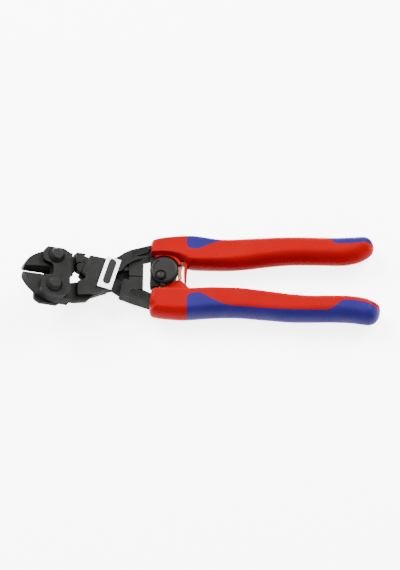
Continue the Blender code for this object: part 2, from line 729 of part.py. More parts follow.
def upper_grip_outline():
    outside = smooth([(-28.6, 17.2), (-27.3, 20.9), (-23.0, 23.5), (-15.0, 24.8),
                      (-4.0, 24.8), (11.7, 23.0), (30.0, 23.8), (50.0, 25.0),
                      (72.0, 24.8), (84.0, 25.3), (91.5, 26.2)], 3)
    end = sweep((91.5, 26.2), (98.5, 26.2), (99.0, 12.5), (86.0, 10.3), 8)[1:]
    inside = smooth([(86.0, 10.3), (72.0, 9.6), (52.0, 9.6), (36.0, 8.2), (16.0, 5.8),
                     (4.0, 6.1), (-8.0, 7.0)], 3)[1:]
    guard = [(-11.2, 10.0), (-16.0, 12.8), (-21.0, 13.7), (-28.6, 12.6)]
    return to_kink(outside + end + inside + guard)


def lower_grip_outline():
    outside = smooth([(-28.8, -15.8), (-27.5, -20.0), (-23.0, -23.3), (-14.5, -24.8),
                      (-4.0, -24.4), (8.0, -23.5), (28.0, -24.2), (50.0, -25.1),
                      (74.0, -25.0), (88.0, -26.0), (92.5, -26.2)], 3)
    end = sweep((92.5, -26.2), (103.4, -26.2), (102.6, -13.0), (88.0, -10.8), 8)[1:]
    inside = smooth([(88.0, -10.8), (74.0, -9.8), (58.0, -10.0), (42.0, -8.5), (26.0, -6.3),
                     (14.0, -5.6), (4.0, -6.1), (-8.0, -7.4), (-18.0, -8.8),
                     (-28.8, -11.0)], 3)[1:]
    return to_kink(outside + end + inside)


def steel_room(side):
    """The room that the lever and its tang take inside a grip."""
    lever_y = (10.9, 18.9) if side > 0 else (-18.7, -10.5)
    lever_room = slab("lever_room", [(10.0, lever_y[0]), (24.4, lever_y[0]),
                                     (24.4, lever_y[1]), (10.0, lever_y[1])],
                      -BODY_HALF - GAP, BODY_HALF + GAP)
    inner = [(16.0, 11.9), (45.0, 11.8), (80.0, 12.6), (118.6, 13.5)]
    outer = [(123.0, 17.9), (80.0, 18.2), (45.0, 18.0), (16.0, 17.8)]
    outline = [(x, side * y) for x, y in inner + outer]
    if side < 0:
        outline.reverse()
    tang_room = slab("tang_room", outline, -TANG_HALF - GAP, TANG_HALF + GAP)
    return join(lever_room, tang_room)


def upper_inset_front(grow):
    """Outline of the soft teardrop on the outer side of the upper grip."""
    points = [(-8.6 - grow, 30.0), (-8.6 - grow, 17.2 - grow), (-6.6, 16.4 - grow),
              (0.0, 16.8 - grow), (7.0, 19.4 - grow), (13.4 + grow, 24.4 - grow),
              (15.0 + grow, 30.0)]
    return to_kink(points)


def upper_inset_end(grow):
    points = [(71.0 - grow, 30.0), (72.0 - grow, 24.0 - grow), (77.0, 20.6 - grow),
              (86.0, 20.6 - grow), (100.0, 21.6 - grow), (100.0, 30.0)]
    return to_kink(points)


def lower_cover_outline(grow):
    """Outline of the soft cover on the outer side of the lower grip."""
    low = smooth([(-7.8 - grow, -12.6 + grow), (-5.8, -10.8 + grow), (-1.0, -10.8 + grow),
                  (3.6, -13.0 + grow), (9.6, -16.8 + grow), (17.0, -19.0 + grow),
                  (30.0, -20.2 + grow), (50.0, -21.2 + grow), (68.0, -21.4 + grow),
                  (75.0, -18.8 + grow), (79.6, -15.0 + grow), (86.0, -14.6 + grow),
                  (94.0, -17.6 + grow), (104.0, -22.0 + grow)], 2)
    return to_kink([(104.0, -32.0), (-7.8 - grow, -32.0)] + low)


def counterclockwise(outline):
    area = sum(a[0] * b[1] - b[0] * a[1] for a, b in zip(outline, outline[1:] + outline[:1]))
    return outline if area > 0 else outline[::-1]


def cutter_slab(name, outline):
    return slab(name, counterclockwise(outline), -20.0, 20.0)


def upper_grip_blank(name):
    """Upper grip before its soft insets are let in."""
    body = pillow(name, counterclockwise(upper_grip_outline()), GRIP_HALF, GRIP_ROUND)
    fin = slab("fin", to_kink([(-9.7, 11.0), (-9.7, -3.0), (-8.2, -3.0), (-8.2, 8.0),
                               (-4.0, 9.0), (-4.0, 14.0)]), -4.2, 4.2)
    join(body, fin)
    room = steel_room(1)
    lobe_room = slab("lobe_room", to_kink([(-29.5, 5.0), (-12.0, 5.0), (-12.0, 14.2),
                                           (-29.5, 14.2)]),
                     -PAD_HALF - GAP, PAD_HALF + GAP)
    disc_room = rod("disc_room", LOCK_AXIS, DISC_R + 1.2, PAD_HALF, 12.0, 56)
    cut(body, room, lobe_room, disc_room)
    return body


def upper_grip():
    """Hard core of the upper grip with the guard round the lock."""
    body = upper_grip_blank("upper_grip")
    cut(body, cutter_slab("inset_front", upper_inset_front(GAP)),
        cutter_slab("inset_end", upper_inset_end(GAP)))
    tidy(body)
    return place(body, "kink", "handle_axis", "red")


def grip_inset(name, blank, outline, rides_on):
    """A soft inset: the part of a grip's blank inside an outline."""
    body = blank(name)
    combine(body, [cutter_slab("keep", outline)], "INTERSECT")
    tidy(body)
    return place(body, "kink", rides_on, "blue")


def lower_grip_blank(name):
    """Lower grip before its soft cover is moulded on."""
    body = pillow(name, counterclockwise(lower_grip_outline()), GRIP_HALF, GRIP_ROUND)
    lobe = slab("lobe", counterclockwise(to_kink([(-24.0, -8.4), (-20.6, -7.2), (-13.2, -1.4),
                                                   (-11.4, -1.4), (-8.0, -5.0), (-5.0, -7.0),
                                                   (-5.0, -12.0), (-24.0, -12.0)])), -3.0, 3.0)
    bevel(lobe, 0.6, 2, 40)
    join(body, lobe)
    cut(body, steel_room(-1))
    return body


def lower_grip():
    """Hard core of the lower grip with the lobe under the lock."""
    body = lower_grip_blank("lower_grip")
    cut(body, cutter_slab("cover_room", lower_cover_outline(GAP)))
    tidy(body)
    return place(body, "kink", "kink", "red")


def main():
    start_scene()
    build_frames()
    lower_lever()
    upper_lever()
    upper_jaw()
    link_plate("front_link_plate", 1)
    link_plate("rear_link_plate", -1)
    link_bolt("lower_link_bolt", LOWER_LINK, "link_axis")
    link_bolt("upper_link_bolt", UPPER_LINK, "link_axis")
    link_nut("lower_link_nut", LOWER_LINK, "link_axis")
    link_nut("upper_link_nut", UPPER_LINK, "link_axis")
    handle_pin()
    name_label()
    lock_disc()
    lock_button()
    lock_axle()
    lock_latch()
    opening_spring()
    upper_grip()
    grip_inset("upper_grip_front_inset", upper_grip_blank, upper_inset_front(0.0), "handle_axis")
    grip_inset("upper_grip_end_inset", upper_grip_blank, upper_inset_end(0.0), "handle_axis")
    lower_grip()
    grip_inset("lower_grip_cover", lower_grip_blank, lower_cover_outline(0.0), "kink")


main()
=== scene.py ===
"""Looks of the compact lever-action bolt cutters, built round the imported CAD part."""
import json
from math import cos, pi, radians, sin

import bmesh
import bpy
import numpy as np
from mathutils import Matrix, Vector


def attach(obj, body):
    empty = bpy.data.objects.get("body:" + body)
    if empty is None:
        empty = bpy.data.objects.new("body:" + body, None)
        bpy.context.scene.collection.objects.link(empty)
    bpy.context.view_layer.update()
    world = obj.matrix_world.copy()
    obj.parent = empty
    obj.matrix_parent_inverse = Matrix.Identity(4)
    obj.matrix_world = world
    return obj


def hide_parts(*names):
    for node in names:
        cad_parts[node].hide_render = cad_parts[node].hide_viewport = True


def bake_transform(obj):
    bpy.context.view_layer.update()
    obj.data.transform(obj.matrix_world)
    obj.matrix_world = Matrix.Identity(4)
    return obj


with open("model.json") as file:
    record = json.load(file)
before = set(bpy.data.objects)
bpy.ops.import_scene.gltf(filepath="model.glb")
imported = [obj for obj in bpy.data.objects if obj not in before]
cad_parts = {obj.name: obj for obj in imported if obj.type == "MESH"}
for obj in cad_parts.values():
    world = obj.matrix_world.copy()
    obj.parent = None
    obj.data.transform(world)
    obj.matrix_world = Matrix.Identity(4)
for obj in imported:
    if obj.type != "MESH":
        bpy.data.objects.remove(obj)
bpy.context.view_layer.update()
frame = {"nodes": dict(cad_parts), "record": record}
MM = 0.001
HEAD = radians(20.0)
KINK = (-46.0, 8.0)             # X and Z of the kink between head and handles, in mm
LOCK = (-20.7, 2.6)             # axis of the locking disc, in mm
STUD = (LOCK[0] - 1.8, LOCK[1] - 3.8)   # axis of the stud on the disc
GRIP_HALF = 8.0                 # half thickness of the grips
ROUNDNESS = 1.75                # power of the grips' rounded edges; 2 is a quarter circle
SEAM = 0.04                     # gap between a grip's core and its soft insets
LEVER_FACE = 12.8               # front face of the levers
LABEL_SLANT = radians(16.7)     # lean of the label's long sides


# ---------------------------------------------------------------- meshes
def mesh_piece(name, vertices, faces, smooth=True):
    mesh = bpy.data.meshes.new(name)
    mesh.from_pydata([tuple(v) for v in vertices], [], faces)
    mesh.validate()
    obj = bpy.data.objects.new(name, mesh)
    bpy.context.scene.collection.objects.link(obj)
    shape = bmesh.new()
    shape.from_mesh(mesh)
    bmesh.ops.recalc_face_normals(shape, faces=shape.faces)
    shape.to_mesh(mesh)
    shape.free()
    if smooth:
        mesh.shade_smooth()
    return obj


def finish_shading(obj, angle=35.0):
    obj.data.shade_smooth()
    obj.data.set_sharp_from_angle(angle=radians(angle))
    return obj


def curve_through(points, steps=8):
    """Points on a smooth open curve through the given points."""
    result = []
    last = len(points) - 1
    for i in range(last):
        before = points[max(i - 1, 0)]
        after = points[min(i + 2, last)]
        a, d = points[i], points[i + 1]
        b = (a[0] + (d[0] - before[0]) / 6, a[1] + (d[1] - before[1]) / 6)
        c = (d[0] - (after[0] - a[0]) / 6, d[1] - (after[1] - a[1]) / 6)
        for k in range(steps):
            t = k / steps
            s = 1 - t
            weights = (s * s * s, 3 * s * s * t, 3 * s * t * t, t * t * t)
            result.append(tuple(sum(w * p[n] for w, p in zip(weights, (a, b, c, d)))
                                for n in (0, 1)))
    return result + [points[-1]]


def distance_to(points, line):
    """Distance from many points to an open line of points, in the plane."""
    points = np.asarray(points, float)
    line = np.asarray(line, float)
    best = np.full(len(points), 1e9)
    for a, b in zip(line[:-1], line[1:]):
        along = b - a
        length2 = max(float(along @ along), 1e-12)
        t = np.clip(((points - a) @ along) / length2, 0.0, 1.0)
        gap = points - (a + t[:, None] * along)
        best = np.minimum(best, np.hypot(gap[:, 0], gap[:, 1]))
    return best


def height_at(x, line):
    line = sorted(line)
    return float(np.interp(x, [p[0] for p in line], [p[1] for p in line]))


# ---------------------------------------------------------------- materials
def shader_of(name, colour, roughness, specular=0.05):
    material = bpy.data.materials.new(name)
    material.use_nodes = True
    shader = material.node_tree.nodes["Principled BSDF"]
    shader.inputs["Base Color"].default_value = (*colour, 1.0)
    shader.inputs["Roughness"].default_value = roughness
    shader.inputs["Specular IOR Level"].default_value = specular
    return material, material.node_tree, shader


def paint(obj, material):
    obj.data.materials.clear()
    obj.data.materials.append(material)
    return obj


def node(tree, kind, **settings):
    made = tree.nodes.new(kind)
    for key, value in settings.items():
        setattr(made, key, value)
    return made


def noise(tree, place, scale, detail, roughness=0.55):
    made = node(tree, "ShaderNodeTexNoise")
    made.inputs["Scale"].default_value = scale
    made.inputs["Detail"].default_value = detail
    made.inputs["Roughness"].default_value = roughness
    tree.links.new(place, made.inputs["Vector"])
    return made.outputs["Fac"]


def ramp(tree, value, low, high, to_low, to_high):
    made = node(tree, "ShaderNodeMapRange")
    for key, number in (("From Min", low), ("From Max", high), ("To Min", to_low),
                        ("To Max", to_high)):
        made.inputs[key].default_value = number
    tree.links.new(value, made.inputs["Value"])
    return made.outputs["Result"]


def mix_colours(tree, share, first, second):
    """Colour between two; each of them is a colour or another node's output."""
    made = node(tree, "ShaderNodeMix", data_type="RGBA")
    tree.links.new(share, made.inputs[0])
    for socket, colour in ((made.inputs[6], first), (made.inputs[7], second)):
        if isinstance(colour, tuple):
            socket.default_value = (*colour, 1.0)
        else:
            tree.links.new(colour, socket)
    return made.outputs[2]


def edge_share(tree, radius, low, high):
    """How near a convex or concave edge a point is, from the bend of a rounded normal."""
    rounded = node(tree, "ShaderNodeBevel", samples=6)
    rounded.inputs["Radius"].default_value = radius * MM
    flat = node(tree, "ShaderNodeNewGeometry")
    dot = node(tree, "ShaderNodeVectorMath", operation="DOT_PRODUCT")
    tree.links.new(rounded.outputs["Normal"], dot.inputs[0])
    tree.links.new(flat.outputs["Normal"], dot.inputs[1])
    return ramp(tree, dot.outputs["Value"], high, low, 0.0, 1.0)


def hollow_share(tree, reach, low, high):
    """How shut in a point is by what stands round it, from 0 in the open to 1."""
    shut = node(tree, "ShaderNodeAmbientOcclusion", samples=8)
    shut.inputs["Distance"].default_value = reach * MM
    return ramp(tree, shut.outputs["AO"], high, low, 0.0, 1.0)


def surface(tree, shader, place, fine, coarse, rough, depth):
    """Roughness that drifts over the piece and a grain raised by the given depth in mm."""
    drift = noise(tree, place, coarse, 3.0)
    tree.links.new(ramp(tree, drift, 0.3, 0.7, *rough), shader.inputs["Roughness"])
    bump = node(tree, "ShaderNodeBump")
    bump.inputs["Strength"].default_value = 0.6
    bump.inputs["Distance"].default_value = depth * MM
    tree.links.new(noise(tree, place, fine, 4.0, 0.6), bump.inputs["Height"])
    tree.links.new(bump.outputs["Normal"], shader.inputs["Normal"])


def steel(name, dark, light, highlight_and_wear, painted_shade, specular=0.007, rough=(0.34, 0.5)):
    """Blackened forged steel: mottled oxide, a painted highlight along the edges that also stands
    for rubbed wear, and painted shade in hollows and on upright walls.
    """
    material, tree, shader = shader_of(name, light, 0.42, specular)
    place = node(tree, "ShaderNodeTexCoord").outputs["Object"]
    surface(tree, shader, place, fine=3200.0, coarse=260.0, rough=rough, depth=0.035)
    patches = ramp(tree, noise(tree, place, 150.0, 6.0, 0.6), 0.32, 0.68, 0.0, 1.0)
    base = mix_colours(tree, patches, dark, light)
    # Painted highlight along convex and concave edges, broken up by noise; it also stands for
    # rubbed wear of the oxide.
    edge_highlight_and_wear = node(tree, "ShaderNodeMath", operation="MULTIPLY")
    tree.links.new(edge_share(tree, radius=0.35, low=0.80, high=0.985), edge_highlight_and_wear.inputs[0])
    tree.links.new(ramp(tree, noise(tree, place, 700.0, 3.0), 0.35, 0.6, 0.15, 1.0),
                   edge_highlight_and_wear.inputs[1])
    base = mix_colours(tree, edge_highlight_and_wear.outputs["Value"], base, highlight_and_wear)
    # Painted shade: where the piece is shut in by its own shape, the colour is darkened towards the
    # shade colour.
    painted_hollow_shade = hollow_share(tree, reach=5.0, low=0.1, high=0.62)
    base = mix_colours(tree, painted_hollow_shade, base, painted_shade)
    # Painted shade: faces that stand upright are darkened towards the shade colour, the more the
    # steeper they stand.
    facing = node(tree, "ShaderNodeSeparateXYZ")
    tree.links.new(node(tree, "ShaderNodeNewGeometry").outputs["Normal"], facing.inputs[0])
    painted_wall_shade = ramp(tree, facing.outputs["Z"], 0.55, 0.15, 0.0, 0.72)
    base = mix_colours(tree, painted_wall_shade, base, painted_shade)
    tree.links.new(base, shader.inputs["Base Color"])
    return material


def plastic(name, light, dark, painted_shade, fine, depth, specular, rough):
    """Moulded plastic: a fine spark-eroded grain, a faint drift of colour and painted shade in its
    hollows.
    """
    material, tree, shader = shader_of(name, light, 0.4, specular)
    place = node(tree, "ShaderNodeTexCoord").outputs["Object"]
    surface(tree, shader, place, fine, 90.0, rough, depth)
    drift = ramp(tree, noise(tree, place, 60.0, 5.0), 0.35, 0.65, 0.0, 1.0)
    base = mix_colours(tree, drift, light, dark)
    # Painted shade: shut-in places are darkened towards the shade colour.
    painted_hollow_shade = hollow_share(tree, reach=2.5, low=0.1, high=0.7)
    base = mix_colours(tree, painted_hollow_shade, base, painted_shade)
    tree.links.new(base, shader.inputs["Base Color"])
    return material


# The last colour given to each material below is painted shade for its hollows; the two steels also
# take it as painted shade on upright walls.
STEEL = steel("black_steel", dark=(0.0102, 0.0101, 0.0098), light=(0.0136, 0.0134, 0.0130),
              highlight_and_wear=(0.034, 0.033, 0.032), painted_shade=(0.0006, 0.0006, 0.0006))
FASTENER = steel("bolt_steel", dark=(0.0080, 0.0079, 0.0076), light=(0.0118, 0.0116, 0.0112),
                 highlight_and_wear=(0.026, 0.025, 0.024), painted_shade=(0.0012, 0.0012, 0.0012),
                 specular=0.02, rough=(0.3, 0.44))
RED = plastic("red_plastic", light=(0.185, 0.0003, 0.0012), dark=(0.166, 0.0002, 0.0010),
              painted_shade=(0.045, 0.0001, 0.0003), fine=2600.0, depth=0.03, specular=0.02,
              rough=(0.32, 0.44))
BLUE = plastic("blue_soft", light=(0.0095, 0.0050, 0.072), dark=(0.0065, 0.0040, 0.060),
               painted_shade=(0.0020, 0.0018, 0.022), fine=3400.0, depth=0.04, specular=0.07,
               rough=(0.42, 0.58))
WHITE = plastic("white_label", light=(0.86, 0.86, 0.86), dark=(0.80, 0.80, 0.80),
                painted_shade=(0.42, 0.42, 0.42), fine=2400.0, depth=0.01, specular=0.1,
                rough=(0.4, 0.5))
DISC = plastic("black_plastic", light=(0.0100, 0.0096, 0.0092), dark=(0.0080, 0.0077, 0.0075),
               painted_shade=(0.0012, 0.0012, 0.0012), fine=2800.0, depth=0.03, specular=0.07,
               rough=(0.36, 0.5))
SPRING = plastic("spring_steel", light=(0.30, 0.135, 0.075), dark=(0.25, 0.11, 0.06),
                 painted_shade=(0.12, 0.03, 0.015), fine=1500.0, depth=0.01, specular=0.12,
                 rough=(0.28, 0.4))
BLACK = plastic("black_ink", light=(0.0050, 0.0050, 0.0052), dark=(0.0040, 0.0040, 0.0042),
                painted_shade=(0.001, 0.001, 0.001), fine=2400.0, depth=0.01, specular=0.05,
                rough=(0.35, 0.45))

SLOT_FINISH = {"forged_steel": STEEL, "fastener_steel": FASTENER, "spring_steel": SPRING,
               "label": WHITE, "lock_plastic": DISC, "grip_core": RED, "grip_soft": BLUE}
for entry in frame["record"]["subparts"]:
    paint(frame["nodes"][entry["node"]], SLOT_FINISH[entry["material_slot"]])


def dress(obj, material, angle, body, slot, *replaced):
    """Shades and paints a piece, and says what it rides on and replaces. The slot argument is not
    used.
    """
    finish_shading(obj, angle)
    paint(obj, material)
    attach(obj, body)
    if replaced:
        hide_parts(*replaced)


# ---------------------------------------------------------------- cutting and turning
def prism(name, outline, bottom, top):
    """A closed outline in mm given a thickness along Z."""
    count = len(outline)
    area = sum(a[0] * b[1] - b[0] * a[1] for a, b in zip(outline, outline[1:] + outline[:1]))
    if area < 0:
        outline = outline[::-1]
    vertices = [(x * MM, y * MM, bottom * MM) for x, y in outline]
    vertices += [(x * MM, y * MM, top * MM) for x, y in outline]
    faces = [tuple(range(count))[::-1], tuple(range(count, 2 * count))]
    for i in range(count):
        k = (i + 1) % count
        faces.append((i, k, count + k, count + i))
    return mesh_piece(name, vertices, faces, smooth=False)


def turned(name, profile, centre, segments=96):
    """A turned piece about an upright axis: profile of (radius, z) in mm, ends on the axis."""
    vertices, faces, rings = [], [], []
    for radius, z in profile:
        if radius == 0:
            rings.append([len(vertices)] * segments)
            vertices.append((centre[0] * MM, centre[1] * MM, z * MM))
            continue
        ring = []
        for k in range(segments):
            angle = 2 * pi * k / segments
            ring.append(len(vertices))
            vertices.append(((centre[0] + radius * cos(angle)) * MM,
                             (centre[1] + radius * sin(angle)) * MM, z * MM))
        rings.append(ring)
    for a, b in zip(rings, rings[1:]):
        for k in range(segments):
            m = (k + 1) % segments
            face = [a[k], a[m], b[m], b[k]]
            face = [v for n, v in enumerate(face) if v not in face[:n]]
            if len(face) > 2:
                faces.append(tuple(face))
    return mesh_piece(name, vertices, faces)


def carve(obj, tool, operation="DIFFERENCE"):
    """Boolean of a piece with a tool that is used up."""
    step = obj.modifiers.new("carve", "BOOLEAN")
    step.operation = operation
    step.object = tool
    step.solver = "EXACT"
    bpy.context.view_layer.update()
    result = obj.evaluated_get(bpy.context.evaluated_depsgraph_get())
    mesh = bpy.data.meshes.new_from_object(result)
    obj.modifiers.clear()
    obj.data = mesh
    bpy.data.objects.remove(tool, do_unlink=True)
    return obj


def soften(obj, width, angle=40.0, segments=2):
    step = obj.modifiers.new("edges", "BEVEL")
    step.width = width * MM
    step.segments = segments
    step.limit_method = "ANGLE"
    step.angle_limit = radians(angle)
    step.harden_normals = False
    bpy.context.view_layer.update()
    result = obj.evaluated_get(bpy.context.evaluated_depsgraph_get())
    mesh = bpy.data.meshes.new_from_object(result)
    obj.modifiers.clear()
    obj.data = mesh
    return obj


def arc(centre, radius, start, end, steps):
    points = []
    for i in range(steps + 1):
        angle = radians(start + (end - start) * i / steps)
        points.append((centre[0] + radius * cos(angle), centre[1] + radius * sin(angle)))
    return points


# ---------------------------------------------------------------- grips
# Edges of the two grips seen from the front, in mm; each runs from the neck to the tip.
UPPER_LOW = curve_through([(-28.6, 12.4), (-24.5, 12.5), (-20.7, 12.5), (-16.5, 11.9),
                           (-12.8, 10.4),
                           (-9.8, 8.4), (-7.5, 7.0), (-4.0, 6.4), (4.0, 6.1), (16.0, 6.0),
                           (27.0, 6.9), (36.0, 8.2), (49.7, 9.6), (64.0, 9.8), (77.7, 9.7),
                           (83.2, 10.3), (88.8, 11.7), (93.7, 14.2), (96.1, 16.5), (96.9, 19.2)])
UPPER_HIGH = curve_through([(-28.6, 18.6), (-28.3, 20.0), (-27.0, 21.4), (-21.2, 22.9),
                            (-14.0, 23.8),
                            (-8.0, 24.2), (-2.0, 24.0), (11.7, 22.2), (27.4, 23.0), (49.7, 24.3),
                            (72.0, 24.2), (84.0, 24.7), (90.0, 25.2), (93.3, 24.9), (95.4, 23.5),
                            (96.5, 21.4), (96.9, 19.2)])
LOWER_LOW = curve_through([(-28.8, -19.0), (-28.4, -21.2), (-26.5, -22.5), (-21.2, -23.4),
                           (-14.0, -24.0), (-8.2, -24.1), (6.7, -22.9), (20.7, -22.6),
                           (36.0, -23.8), (49.7, -24.8), (62.0, -24.8), (72.0, -24.6),
                           (83.2, -24.9), (90.0, -25.7),
                           (94.4, -26.1), (97.6, -24.8), (99.4, -21.8), (100.0, -18.2)])
LOWER_HIGH = curve_through([(-28.8, -13.0), (-28.2, -10.0), (-26.8, -8.0), (-24.5, -7.6),
                            (-16.0, -7.5), (-7.3, -7.5), (0.0, -7.1), (6.7, -6.7), (20.7, -6.9),
                            (27.4, -7.5), (38.5, -8.8), (49.7, -10.2), (60.9, -10.9), (72.0, -10.7),
                            (83.2, -10.8), (91.6, -12.1), (96.6, -14.0), (99.3, -16.0),
                            (100.0, -18.2)])


def grip_shape(name, low, high, reach_low, reach_high, power):
    """A closed grip between two lines; its thickness is rounded off towards both of them.

    reach_low and reach_high give, along X, how far in from each line the rounding goes.
    """
    columns, rows = 280, 48
    x_start, x_end = low[0][0], low[-1][0]
    grid = []
    for i in range(columns + 1):
        u = i / columns
        x = x_start + (x_end - x_start) * (0.45 * u + 0.55 * sin(u * pi / 2))
        y0, y1 = height_at(x, low), height_at(x, high)
        for j in range(rows + 1):
            grid.append((x, y0 + (y1 - y0) * (1 - cos(pi * j / rows)) / 2))
    flat = np.array(grid)
    shares = []
    for line, reach in ((low, reach_low), (high, reach_high)):
        width = np.interp(flat[:, 0], [p[0] for p in reach], [p[1] for p in reach])
        shares.append(distance_to(flat, line) / width)
    shares.append(distance_to(flat, [low[0], high[0]]) / 1.3)
    share = np.minimum(np.minimum.reduce(shares), 1.0)
    rise = GRIP_HALF * (1 - (1 - share) ** power) ** (1 / power)
    n = rows + 1
    vertices, faces, top, bottom = [], [], [], []
    for k, (x, y) in enumerate(grid):
        i, j = divmod(k, n)
        rim = i in (0, columns) or j in (0, rows)
        lift = 0.0 if rim else rise[k]
        top.append(len(vertices))
        vertices.append((x * MM, y * MM, (GRIP_HALF + lift) * MM))
        if rim:
            bottom.append(top[-1])
        else:
            bottom.append(len(vertices))
            vertices.append((x * MM, y * MM, (GRIP_HALF - lift) * MM))
    for i in range(columns):
        for j in range(rows):
            a, b = i * n + j, i * n + j + 1
            c, d = b + n, a + n
            faces.append((top[a], top[d], top[c], top[b]))
            faces.append((bottom[a], bottom[b], bottom[c], bottom[d]))
    obj = mesh_piece(name, vertices, faces)
    shape = bmesh.new()
    shape.from_mesh(obj.data)
    bmesh.ops.remove_doubles(shape, verts=shape.verts, dist=0.000002)
    bmesh.ops.dissolve_degenerate(shape, edges=shape.edges, dist=0.000002)
    bmesh.ops.recalc_face_normals(shape, faces=shape.faces)
    shape.to_mesh(obj.data)
    shape.free()
    return obj


def widened(line, by):
    """The line moved along Y, with the move running out over the last of its length."""
    tip = line[-1][0]
    return [(x, y + by * min(1.0, (tip - x) / 7.0)) for x, y in line]


def front_inset(grow):
    line = curve_through([(-8.2 - grow, 17.6), (-7.4, 15.9 - grow), (-5.6, 15.1 - grow),
                          (-1.4, 15.1 - grow), (1.7, 16.4 - grow), (5.6, 18.2 - grow),
                          (9.5, 19.6 - grow), (14.0 + grow, 20.6 - grow),
                          (19.0 + grow, 21.6 - grow)], 5)
    return line + [(19.0 + grow, 31.0), (-8.2 - grow, 31.0)]


def end_inset(grow):
    line = curve_through([(70.5 - grow, 23.4 - grow), (72.6 - grow, 21.0 - grow),
                          (75.2, 19.2 - grow), (79.0, 19.0 - grow), (84.0, 19.3 - grow),
                          (89.0, 19.9 - grow), (94.0, 20.2 - grow), (99.0, 19.9 - grow)], 5)
    return [(70.5 - grow, 31.0)] + line + [(99.0, 31.0)]


def lower_cover(grow):
    line = curve_through([(-7.9 - grow, -15.2), (-7.2 - grow * 0.7, -13.3 + grow * 0.7),
                          (-5.0, -12.0 + grow), (-1.1, -11.7 + grow), (1.6, -12.7 + grow),
                          (5.6, -15.0 + grow), (10.6, -17.4 + grow), (15.1, -18.8 + grow),
                          (24.6, -19.5 + grow), (44.1, -20.8 + grow), (60.0, -21.0 + grow),
                          (69.3, -20.8 + grow), (72.6, -19.9 + grow), (74.9, -18.3 + grow),
                          (77.1, -16.4 + grow), (79.3, -15.3 + grow), (83.2, -15.1 + grow),
                          (88.8, -15.9 + grow), (94.4, -17.4 + grow), (97.8, -18.8 + grow),
                          (101.5, -20.6 + grow)], 5)
    return line + [(101.5, -31.0), (-7.9 - grow, -31.0)]


def upper_blank(name):
    return grip_shape(name, widened(UPPER_LOW, -0.7), widened(UPPER_HIGH, 0.5),
                      [(-28.0, 1.5), (-16.0, 1.8), (-8.0, 3.8), (8.0, 4.6), (24.0, 6.2),
                       (44.0, 6.6), (96.0, 7.6)],
                      [(-28.0, 2.6), (20.0, 3.4), (96.0, 4.2)], ROUNDNESS)


def lower_blank(name):
    return grip_shape(name, widened(LOWER_LOW, -0.8), widened(LOWER_HIGH, 0.4),
                      [(-28.0, 4.6), (-8.0, 5.6), (40.0, 6.4), (100.0, 7.6)],
                      [(-28.0, 2.4), (20.0, 3.2), (100.0, 4.2)], ROUNDNESS)


def lock_guard():
    """Raised wall of the upper grip that follows the disc."""
    outline = arc(LOCK, 10.6, 20.0, 122.0, 30) + arc(LOCK, 8.7, 122.0, 20.0, 30)
    return soften(prism("guard", outline, 4.4, 13.4), 0.55, 40.0, 3)


def spring_stop():
    """Thin upright of the upper grip that the opening spring stands beside."""
    outline = [(-9.6, 9.4), (-9.7, 4.0), (-9.5, -2.0), (-9.1, -2.8), (-8.5, -2.8), (-8.2, -2.0),
               (-7.9, 4.0), (-7.4, 9.4)]
    return soften(prism("stop", outline, 3.6, 12.4), 0.3, 40.0, 2)


def inner_lobe():
    """Low peak on the inner side of the lower grip, under the opening spring."""
    outline = curve_through([(-24.0, -9.4), (-21.2, -6.8), (-17.0, -4.3), (-13.6, -2.4),
                             (-12.4, -2.1), (-11.3, -2.4), (-8.6, -5.0), (-6.2, -7.4),
                             (-4.4, -9.4)], 5)
    return soften(prism("lobe", outline, 4.8, 11.2), 0.6, 45.0, 3)


def through(name, outline):
    """A tool that reaches right through a grip."""
    return prism(name, outline, -4.0, 20.0)


def grips():
    upper = upper_blank("upper_grip_core")
    carve(upper, lock_guard(), "UNION")
    carve(upper, spring_stop(), "UNION")
    carve(upper, through("front", front_inset(SEAM)))
    carve(upper, through("end", end_inset(SEAM)))
    front = carve(upper_blank("upper_soft_front"), through("keep", front_inset(0.0)),
                  "INTERSECT")
    end = carve(upper_blank("upper_soft_end"), through("keep", end_inset(0.0)), "INTERSECT")
    lower = lower_blank("lower_grip_core")
    carve(lower, inner_lobe(), "UNION")
    carve(lower, through("cover", lower_cover(SEAM)))
    cover = carve(lower_blank("lower_soft_cover"), through("keep", lower_cover(0.0)),
                  "INTERSECT")
    dress(upper, RED, 38.0, "upper_handle", "grip_core", "upper_grip")
    dress(front, BLUE, 38.0, "upper_handle", "grip_soft", "upper_grip_front_inset")
    dress(end, BLUE, 38.0, "upper_handle", "grip_soft", "upper_grip_end_inset")
    dress(lower, RED, 38.0, "frame", "grip_core", "lower_grip")
    dress(cover, BLUE, 38.0, "frame", "grip_soft", "lower_grip_cover")


# ---------------------------------------------------------------- lock, label and spring
def lock_knob():
    """Disc with a rounded rim, a sunk seat for its stud and a curved mark near the rim."""
    radius = 8.0
    low, top = 11.5, 14.8
    profile = [(0.0, top), (radius - 2.3, top)]
    profile += [(radius - 1.9 + 1.9 * sin(radians(a)), top - 1.9 + 1.9 * cos(radians(a)))
                for a in range(10, 91, 10)]
    profile += [(radius, low + 0.4), (radius - 0.12, low + 0.12), (radius - 0.4, low), (0.0, low)]
    knob = turned("lock_knob", profile, LOCK, 112)
    ring = [(3.35, top + 1.0), (3.35, top - 0.5), (2.6, top - 0.95), (0.0, top - 0.95)]
    carve(knob, turned("ring", [(0.0, top + 1.0)] + ring, STUD, 64))
    mark = arc(LOCK, 6.6, 118.0, 176.0, 20) + arc(LOCK, 5.7, 176.0, 118.0, 20)
    carve(knob, prism("mark", mark, top - 0.55, top + 1.0))
    carve(knob, turned("axle", [(0.0, low + 2.0), (2.3, low + 2.0), (2.3, low - 1.0),
                                (0.0, low - 1.0)], LOCK, 48))
    dress(knob, DISC, 28.0, "lock", "lock_plastic", "lock_disc")
    pip = [(0.0, 16.05), (1.2, 16.0), (1.75, 15.8), (2.12, 15.45), (2.3, 15.0), (2.3, 14.2),
           (0.0, 14.2)]
    button = turned("lock_button", pip, STUD, 64)
    dress(button, DISC, 50.0, "lock", "lock_plastic", "lock_stud")


